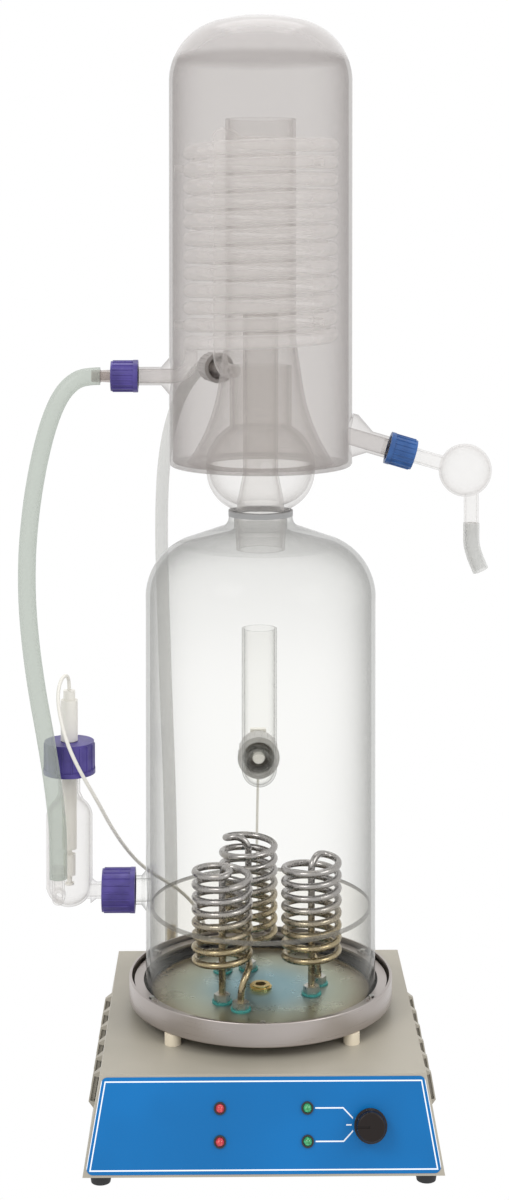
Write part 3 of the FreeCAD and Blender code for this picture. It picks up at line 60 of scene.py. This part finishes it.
class Wire:
    """A shader socket that takes part in sums."""

    def __init__(self, tree, socket):
        self.tree = tree
        self.socket = socket

    def _maths(self, operation, first, second):
        node = self.tree.nodes.new("ShaderNodeMath")
        node.operation = operation
        for slot, value in zip(node.inputs, (first, second)):
            if isinstance(value, Wire):
                self.tree.links.new(value.socket, slot)
            elif value is not None:
                slot.default_value = value
        return Wire(self.tree, node.outputs[0])

    def __add__(self, other):
        return self._maths("ADD", self, other)

    __radd__ = __add__

    def __sub__(self, other):
        return self._maths("SUBTRACT", self, other)

    def __rsub__(self, other):
        return self._maths("SUBTRACT", other, self)

    def __mul__(self, other):
        return self._maths("MULTIPLY", self, other)

    __rmul__ = __mul__

    def __pow__(self, other):
        return self._maths("POWER", self, other)

    def above(self, other):
        return self._maths("GREATER_THAN", self, other)

    def least(self, other):
        return self._maths("MINIMUM", self, other)

    def most(self, other):
        return self._maths("MAXIMUM", self, other)

    def size(self):
        return self._maths("ABSOLUTE", self, None)

    def step(self, low, high):
        node = self.tree.nodes.new("ShaderNodeMapRange")
        node.interpolation_type = "SMOOTHSTEP"
        node.inputs["From Min"].default_value = low
        node.inputs["From Max"].default_value = high
        self.tree.links.new(self.socket, node.inputs["Value"])
        return Wire(self.tree, node.outputs["Result"])


COLUMN_X = -0.00525
COLUMN_Y = 0.000113


class Finish:
    """A new material, with its Principled shader."""

    def __init__(self, name, colour, roughness=0.5, metallic=0.0, **fixed):
        self.material = bpy.data.materials.new(name)
        self.material.use_nodes = True
        self.tree = self.material.node_tree
        self.shader = self.tree.nodes["Principled BSDF"]
        self.out = self.tree.nodes["Material Output"]
        self.shader.inputs["Base Color"].default_value = (*colour, 1)
        self.shader.inputs["Roughness"].default_value = roughness
        self.shader.inputs["Metallic"].default_value = metallic
        for key, value in fixed.items():
            self.shader.inputs[key.replace("_", " ")].default_value = value
        self.material.diffuse_color = (*colour, 1)

    def node(self, kind, values=None, **settings):
        made = self.tree.nodes.new("ShaderNode" + kind)
        for key, value in settings.items():
            setattr(made, key, value)
        for key, value in (values or {}).items():
            if isinstance(value, Wire):
                self.tree.links.new(value.socket, made.inputs[key])
            else:
                made.inputs[key].default_value = value
        return made

    def wire(self, node, output=0):
        return Wire(self.tree, node.outputs[output])

    def point(self):
        """Object coordinates, in metres."""
        return self.wire(self.node("TexCoord"), "Object")

    def place(self):
        """Metres to the right, to the back and up."""
        parts = self.node("SeparateXYZ", {0: self.point()})
        return self.wire(parts, 0), self.wire(parts, 1), self.wire(parts, 2)

    def off_axis(self):
        """Distance from the axis of the glass column."""
        across, back, _ = self.place()
        beside = across - COLUMN_X
        return (beside * beside + back * back) ** 0.5

    def noise(self, scale, detail=3.0, stretch=None):
        vector = self.point()
        if stretch:
            vector = self.wire(self.node("Mapping", {"Vector": vector, "Scale": stretch}))
        return self.wire(self.node("TexNoise", {"Vector": vector, "Scale": scale, "Detail": detail}), "Fac")

    def mix(self, factor, first, second):
        made = self.node("Mix", data_type="RGBA")
        for key, value in ((0, factor), (6, first), (7, second)):
            if isinstance(value, Wire):
                self.tree.links.new(value.socket, made.inputs[key])
            elif key == 0:
                made.inputs[key].default_value = value
            else:
                made.inputs[key].default_value = (*value, 1)
        return Wire(self.tree, made.outputs[2])

    def feed(self, **links):
        for key, value in links.items():
            self.tree.links.new(value.socket, self.shader.inputs[key.replace("_", " ")])
        return self

    def bump(self, height, strength, distance):
        made = self.node("Bump", {"Height": height, "Strength": strength, "Distance": distance})
        return self.feed(Normal=self.wire(made))


def dress(finish, *names):
    """Gives CAD nodes a finish."""
    for name in names:
        slots = nodes[name].material_slots
        if not slots:
            nodes[name].data.materials.append(finish.material)
        for slot in slots:
            slot.material = finish.material


# The two hoses are clear soft PVC, pushed over glass and plastic tails and left to hang.
# The cables are thin, pale and round. Points are in millimetres from the axis of the glass.
MM = 0.001
cooling_points = [(-121.8, 0, 552), (-133.8, 0, 552), (-144, -0.5, 546.5), (-152.2, -1.5, 536.5),
                  (-159, -2.5, 521), (-164.6, -3.5, 502), (-169.8, -4.5, 478), (-174, -6.5, 450),
                  (-176.6, -9.5, 418), (-176.4, -12.5, 384), (-173.2, -16, 350), (-168, -20, 316),
                  (-161.5, -24.5, 284), (-156, -27.6, 252), (-152, -28.4, 219),
                  (-151.6, -28.4, 196), (-151.6, -28.4, 178.5)]
supply_points = [(-41.66, 114.46, 552), (-45.76, 125.74, 552), (-49.8, 134.6, 547), (-57, 141, 538),
                 (-64.5, 145.6, 525), (-71, 148, 507), (-76, 148, 486), (-79, 146, 461),
                 (-80.2, 143.5, 430), (-80, 141, 394), (-78.8, 139.5, 355), (-77.5, 138, 313),
                 (-76, 136.6, 268), (-74.2, 136.2, 222), (-73, 136.2, 180), (-72.3, 136.3, 142),
                 (-72, 136.41, 106), (-72, 136.41, 69.5)]
level_points = [(-145.6, 0, 313), (-145.6, 0, 320), (-147, -4, 325.5), (-150, -10, 325),
                (-152.6, -15, 318), (-152.5, -19, 307), (-149.5, -23, 293), (-144.5, -25.2, 277),
                (-137.5, -24, 261), (-130.5, -18, 246), (-123, -8, 229), (-115, 8, 207),
                (-105, 28, 184), (-94, 48, 164), (-80, 69, 147), (-63, 88, 130), (-49, 101, 110),
                (-42, 105.5, 90), (-42, 105.5, 74.5)]
vapour_points = [(0, 125.8, 223.5), (0, 125.8, 211.5), (-0.6, 125.3, 190), (-1.2, 121.8, 160),
                 (-0.6, 119, 130), (1, 111, 105), (2, 106.5, 88), (2, 106.5, 74.5)]


def route(name, node, points, radius, finish):
    """A round cord along its points. It stands for a CAD node, and does not move."""
    curve = bpy.data.curves.new(name, "CURVE")
    curve.dimensions = "3D"
    curve.bevel_depth = radius
    curve.bevel_resolution = 5
    curve.resolution_u = 10
    curve.use_fill_caps = True
    spline = curve.splines.new("NURBS")
    spline.points.add(len(points) - 1)
    stops = [Vector(point) * MM + Vector((COLUMN_X, COLUMN_Y, 0)) for point in points]
    for place, stop in zip(spline.points, stops):
        place.co = (*stop, 1)
    spline.order_u = 3
    spline.use_endpoint_u = True
    piece = bpy.data.objects.new(name, curve)
    bpy.context.scene.collection.objects.link(piece)
    curve.materials.append(finish.material)
    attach(piece, "distiller")
    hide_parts(node)


class Clear(Finish):
    """A see-through skin: light passes it face on, and it shows its own colour at the edges."""

    def __init__(self, name, tint, colour, base, edge, roughness=0.08):
        super().__init__(name, colour, roughness, IOR=1.47)
        self.material.use_transparent_shadow = True
        through = self.node("BsdfTransparent", {"Color": (*tint, 1)})
        facing = self.wire(self.node("LayerWeight", {"Blend": 0.5}), "Facing")
        self.share = facing ** 3.0 * edge + base
        self.blend = self.node("MixShader", {0: self.share})
        self.tree.links.new(through.outputs[0], self.blend.inputs[1])
        self.tree.links.new(self.shader.outputs[0], self.blend.inputs[2])
        self.tree.links.new(self.blend.outputs[0], self.out.inputs["Surface"])

    def cover(self, extra):
        """Makes the skin less see-through where extra is high."""
        self.tree.links.new((self.share + extra).least(1.0).socket, self.blend.inputs[0])


pvc = Clear("soft_hose", (0.80, 0.82, 0.79), (0.50, 0.54, 0.50), 0.30, 0.55, 0.28)
pvc.bump(pvc.noise(220, 2), 0.15, 0.0004)
pale_pvc = Clear("pale_hose", (0.86, 0.86, 0.85), (0.70, 0.70, 0.69), 0.35, 0.5, 0.3)
cable_finish = Finish("cable_sheath", (0.72, 0.70, 0.65), 0.45)
cable_finish.bump(cable_finish.noise(900, 2), 0.1, 0.0002)
route("cooling_hose_soft", "cooling_hose", cooling_points, 0.0068, pvc)
route("supply_hose_soft", "supply_hose", supply_points, 0.0054, pale_pvc)
route("level_cable", "sensor_cable", level_points, 0.0014, cable_finish)
route("vapour_cable", "rear_sensor_cable", vapour_points, 0.0011, cable_finish)
dress(pale_pvc, "distillate_tube")

# The base is folded steel sheet in beige-grey paint, with a fine grain and faint clouds of a
# darker tone. Its floor is the same sheet.
paint = Finish("base_paint", (0.42, 0.40, 0.34), 0.42)
grain = paint.noise(900, 2)
cloud = paint.noise(9, 3)
paint.feed(Base_Color=paint.mix(cloud.step(0.35, 0.7), (0.33, 0.305, 0.25), (0.38, 0.35, 0.29)),
           Roughness=grain * 0.15 + 0.34)
paint.bump(grain, 0.12, 0.0002)
dress(paint, "housing_shell", "base_plate")

# The front panel is a printed blue film with a pale rim, a thin frame line, two lines from the
# green lamps to the selector, and a mark at its middle position. Its words are left off.
# Heights are above the bench, sides are from the middle, and "down" runs along the slope.
FILM_TOP = 0.071
FILM_TALL = 0.0661
FILM_LEAN = math.cos(math.atan2(20.0, 63.0))
FILM_TAPER = 11.0 / 66.1
FILM_RIM = 0.1124
FRAME_SIDE = 0.1101
FRAME_MARGIN = 0.0045
LINE = 0.0009
SLANTED_LINE = LINE * 1.4
UPPER_LAMP = 0.050
LOWER_LAMP = 0.0295
KNOB_HEIGHT = 0.0395
LEGEND_START = 0.0360
LEGEND_BEND = 0.0555
LEGEND_END = 0.0622
MARK_START = 0.0575
MARK_END = 0.0612
film = Finish("panel_film", (0.0, 0.15, 0.5), 0.35, Specular_IOR_Level=0.25)
across, _, high = film.place()
side = across - COLUMN_X
down = (FILM_TOP - high) * (1 / FILM_LEAN)


def between(value, low, high):
    return value.above(low) * (1 - value.above(high))


def band(value, centre, wide):
    return 1 - (value - centre).size().above(wide / 2)


def slope_down(height):
    return (FILM_TOP - height) / FILM_LEAN


upright = side.size() - down * FILM_TAPER
frame_sides = band(upright, FRAME_SIDE, LINE) * band(down, FILM_TALL / 2, FILM_TALL - 2 * FRAME_MARGIN)
frame_ends = band(down, FRAME_MARGIN, LINE).most(band(down, FILM_TALL - FRAME_MARGIN, LINE))
frame_ends = frame_ends * (1 - upright.above(FRAME_SIDE + LINE / 2))
upper_row = slope_down(UPPER_LAMP)
lower_row = slope_down(LOWER_LAMP)
legend = band(down, upper_row, LINE).most(band(down, lower_row, LINE))
legend = legend * between(side, LEGEND_START, LEGEND_BEND)
slants = band(down - side, upper_row - LEGEND_BEND, SLANTED_LINE)
slants = slants.most(band(down + side, lower_row + LEGEND_BEND, SLANTED_LINE))
legend = legend.most(slants * between(side, LEGEND_BEND, LEGEND_END))
middle_mark = band(down, slope_down(KNOB_HEIGHT), LINE) * between(side, MARK_START, MARK_END)
printed = frame_sides.most(frame_ends).most(legend).most(middle_mark).most(upright.above(FILM_RIM))
blue = film.mix(film.noise(14, 2).step(0.3, 0.8), (0.0, 0.125, 0.36), (0.0, 0.145, 0.42))
film.feed(Base_Color=film.mix(printed, blue, (0.80, 0.84, 0.90)))
dress(film, "control_panel_label")

# Lamps: domed lenses of red and green plastic in dark snap-in bezels. The bezels share their
# dark plastic with the switch, the gland, the contactor and the valve.
for name, deep_tone, bright_tone, where in (
        ("red_lens", (0.42, 0.01, 0.02), (0.62, 0.05, 0.05), "red_lamps"),
        ("green_lens", (0.01, 0.20, 0.05), (0.05, 0.42, 0.16), "green_lamps")):
    lens = Finish(name, bright_tone, 0.18, Coat_Weight=0.6)
    lens.feed(Base_Color=lens.mix(lens.noise(700, 1).step(0.4, 0.65), deep_tone, bright_tone))
    dress(lens, where)
dark = Finish("dark_plastic", (0.018, 0.017, 0.018), 0.4)
dark.feed(Roughness=dark.noise(260, 3) * 0.25 + 0.3)
dark.bump(dark.noise(1500, 2), 0.1, 0.0001)
dress(dark, "lamp_bezels", "selector_switch", "cable_gland", "power_contactor", "solenoid_valve")

# The selector is a moulded phenolic knob, nearly black, with patches worn a little shinier.
knob = Finish("knob_plastic", (0.010, 0.006, 0.005), 0.32, Specular_IOR_Level=0.25)
knob.feed(Roughness=knob.noise(300, 3) * 0.3 + 0.2)
dress(knob, "selector_knob")

# Rubber: the feet, the boiler's gasket and the grommets are black, and the ring at the neck
# is grey. All of them are moulded, with a fine grain.
rubber = Finish("black_rubber", (0.02, 0.02, 0.021), 0.7)
rubber.bump(rubber.noise(800, 3), 0.3, 0.0003)
dress(rubber, "rubber_feet", "boiler_gasket", "cable_grommets")
neck_ring = Finish("neck_ring", (0.30, 0.30, 0.30), 0.5)
neck_ring.bump(neck_ring.noise(600, 2), 0.2, 0.0002)
dress(neck_ring, "neck_seal")

# The tray is satin stainless sheet, spun and brushed round its wall. The boiler floor is
# heat-tinted: olive at the rim, and blue towards the middle.
steel = Finish("satin_steel", (0.60, 0.56, 0.54), 0.3, 1.0)
brush = steel.noise(60, 4, (0.3, 0.3, 30.0))
steel.feed(Roughness=brush * 0.22 + 0.2,
           Base_Color=steel.mix(steel.noise(12, 3).step(0.3, 0.7), (0.38, 0.345, 0.325), (0.46, 0.42, 0.40)))
steel.bump(brush, 0.08, 0.0002)
dress(steel, "clamp_tray", "retaining_ring")
plate = Finish("tinted_plate", (0.4, 0.42, 0.36), 0.28, 1.0)
reach = plate.off_axis()
tint = plate.mix(reach.step(0.02, 0.065), (0.20, 0.36, 0.44), (0.38, 0.41, 0.34))
plate.feed(Base_Color=plate.mix(reach.step(0.06, 0.085), tint, (0.33, 0.28, 0.20)),
           Roughness=plate.noise(45, 4) * 0.3 + 0.15)
dress(plate, "boiler_plate")

# Small metal parts: bright screws, nuts and shaft, and turned brass for the water fittings.
# The spacers are cream plastic, the heaters' washers teal fibre, and the board green.
zinc = Finish("bright_screws", (0.50, 0.50, 0.48), 0.3, 1.0)
zinc.feed(Roughness=zinc.noise(200, 3) * 0.3 + 0.15)
dress(zinc, "base_plate_screws", "spacer_screws", "retaining_screws", "switch_nut", "thermal_cutout",
      "selector_shaft", "heater_nuts")
brass = Finish("turned_brass", (0.62, 0.46, 0.18), 0.28, 1.0)
brass.feed(Roughness=brass.noise(150, 3) * 0.3 + 0.15)
dress(brass, "water_inlet_barb", "valve_outlet_elbow", "drain_bush")
cream = Finish("cream_spacer", (0.72, 0.64, 0.50), 0.5)
cream.bump(cream.noise(500, 2), 0.1, 0.0002)
dress(cream, "standoff_spacers")
teal = Finish("teal_washer", (0.04, 0.30, 0.30), 0.5)
teal.bump(teal.noise(700, 2), 0.15, 0.0002)
dress(teal, "heater_washers")
board = Finish("green_board", (0.02, 0.20, 0.07), 0.4)
board.feed(Roughness=board.noise(300, 2) * 0.2 + 0.3)
dress(board, "control_board")

# The heaters are bent from satin steel tube. Below the water they look warmer, and scale
# has dulled them in patches.
heater = Finish("heater_tube", (0.50, 0.47, 0.42), 0.3, 1.0)
warm = 1 - heater.place()[2].step(0.13, 0.165)
scale = heater.noise(140, 4).step(0.5, 0.75)
coat = heater.mix(warm, (0.36, 0.345, 0.335), (0.36, 0.30, 0.19))
heater.feed(Base_Color=heater.mix(scale * 0.5, coat, (0.34, 0.31, 0.27)), Roughness=scale * 0.25 + 0.25)
dress(heater, "heater_left", "heater_right", "heater_rear")

# Screw caps: ribbed purple mouldings, a darker blue one on the outlet, and two grey ones
# at the back, which the photograph shows through glass.
for name, low_tone, high_tone, where in (
        ("purple_cap", (0.035, 0.022, 0.16), (0.065, 0.045, 0.25),
         ("side_port_cap", "vessel_cap", "jacket_left_cap")),
        ("blue_cap", (0.010, 0.055, 0.19), (0.02, 0.09, 0.28), ("outlet_cap",))):
    cap = Finish(name, low_tone, 0.38)
    cap.feed(Base_Color=cap.mix(cap.noise(60, 3).step(0.35, 0.7), low_tone, high_tone),
             Roughness=cap.noise(400, 2) * 0.2 + 0.28)
    dress(cap, *where)

grey_cap = Finish("grey_cap", (0.42, 0.41, 0.40), 0.35)
grey_cap.feed(Roughness=grey_cap.noise(300, 3) * 0.25 + 0.25,
              Base_Color=grey_cap.mix(grey_cap.noise(50, 3), (0.36, 0.35, 0.34), (0.56, 0.55, 0.54)))
dress(grey_cap, "rear_port_cap", "jacket_rear_cap")

# The sensors, the level float and the terminal block are white plastic, and the seals in the
# caps are pale silicone. The hose tails are clear plastic.
white = Finish("white_plastic", (0.74, 0.72, 0.67), 0.4)
white.feed(Roughness=white.noise(200, 3) * 0.2 + 0.3)
white.bump(white.noise(900, 2), 0.08, 0.0002)
dress(white, "level_sensor", "level_float", "vapour_sensor", "terminal_block")
silicone = Finish("silicone_seal", (0.55, 0.50, 0.45), 0.5)
silicone.bump(silicone.noise(600, 2), 0.1, 0.0002)
dress(silicone, "port_seals")
tails = Clear("clear_tail", (0.85, 0.82, 0.80), (0.45, 0.40, 0.38), 0.25, 0.5, 0.15)
dress(tails, "hose_nozzles")

# Blown borosilicate glass. Every tube has a thin wall that looks grey at its edges. The bell's glass grows a
# little less see-through towards its dome. The jacket is warm grey with a painted highlight as its paler
# crown, and the coil is painted whitish as a highlight.
bell_glass = Clear("bell_glass", (0.995, 0.995, 0.99), (0.22, 0.22, 0.21), 0.008, 0.8)
# The bell's glass grows a little less see-through towards its dome.
bell_glass.cover(bell_glass.place()[2].step(0.30, 0.49) * 0.10)
jacket_glass = Clear("jacket_glass", (0.90, 0.89, 0.885), (0.30, 0.28, 0.27), 0.02, 0.75)
# The paler, less see-through crown at the jacket's top is a painted highlight.
painted_crown_highlight = jacket_glass.place()[2].step(0.788, 0.797)
jacket_glass.feed(Base_Color=jacket_glass.mix(painted_crown_highlight, (0.28, 0.26, 0.25), (0.62, 0.60, 0.59)))
jacket_glass.cover(painted_crown_highlight * 0.25)
tube_glass = Clear("tube_glass", (0.985, 0.983, 0.98), (0.62, 0.60, 0.59), 0.04, 0.85)
# The coil's near-white colour and its strong cover stand in for light on the tubes: a painted highlight.
coil_glass_painted_highlight = Clear("coil_glass_painted_highlight", (0.99, 0.99, 0.988), (0.95, 0.94, 0.93), 0.22, 0.75, 0.06)
dress(bell_glass, "boiler_bell")
dress(jacket_glass, "condenser_jacket")
dress(tube_glass, "level_vessel", "condenser_riser", "splash_trap", "trap_inner_tube", "outlet_bulb")
dress(coil_glass_painted_highlight, "condenser_coil", "coil_spacers")

# Water stands in the bell to just under the side port. It is a disc, extruded up from the
# boiler's floor and a little narrower than the glass, and a painted shade draws its rim as a dark line.
WATER_RADIUS = 0.0836
WATER_BOTTOM = 0.0882
WATER_TOP = 0.1500
water_mesh = bmesh.new()
bmesh.ops.create_circle(water_mesh, cap_ends=True, cap_tris=False, segments=96, radius=WATER_RADIUS)
bmesh.ops.translate(water_mesh, verts=water_mesh.verts, vec=(COLUMN_X, COLUMN_Y, WATER_BOTTOM))
lid = bmesh.ops.extrude_face_region(water_mesh, geom=water_mesh.faces[:])
risen = [v for v in lid["geom"] if isinstance(v, bmesh.types.BMVert)]
bmesh.ops.translate(water_mesh, verts=risen, vec=(0, 0, WATER_TOP - WATER_BOTTOM))
bmesh.ops.recalc_face_normals(water_mesh, faces=water_mesh.faces[:])
water_data = bpy.data.meshes.new("boiler_water")
water_mesh.to_mesh(water_data)
water_mesh.free()
water = bpy.data.objects.new("boiler_water", water_data)
bpy.context.scene.collection.objects.link(water)
water_finish = Clear("water", (0.988, 0.982, 0.965), (0.16, 0.15, 0.13), 0.0, 0.12, 0.03)
# A painted shade darkens a thin line round the rim of the water's top.
painted_rim_shade = water_finish.off_axis().step(0.0815, 0.0826) * water_finish.place()[2].step(0.1465, 0.1475)
water_finish.cover(painted_rim_shade * 0.7)
water_data.materials.append(water_finish.material)
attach(water, "distiller")

# CAD meshes are shaded smooth, apart from their sharp edges.
for node in nodes.values():
    if node.type == "MESH":
        for face in node.data.polygons:
            face.use_smooth = True
        node.data.set_sharp_from_angle(angle=math.radians(35))

# The room is white all round, and three soft lights stand in front at the left and right, and
# above the back. Each has its place, its watts, its width in metres and the height it aims at.
world = bpy.data.worlds.new("studio")
world.use_nodes = True
world.node_tree.nodes["Background"].inputs["Color"].default_value = (1, 1, 1, 1)
world.node_tree.nodes["Background"].inputs["Strength"].default_value = 1.0
bpy.context.scene.world = world
for spot, watts, wide, aim in (((-1.1, -1.4, 1.7), 14, 0.9, 0.4), ((1.3, -1.0, 1.2), 8, 0.8, 0.4),
                               ((0, 0.6, 2.2), 10, 1.2, 0.3)):
    light = bpy.data.lights.new("softbox", "AREA")
    light.energy = watts
    light.size = wide
    lamp = bpy.data.objects.new("softbox", light)
    lamp.location = spot
    lamp.rotation_euler = (Vector((0, 0, aim)) - Vector(spot)).to_track_quat("-Z", "Y").to_euler()
    bpy.context.scene.collection.objects.link(lamp)
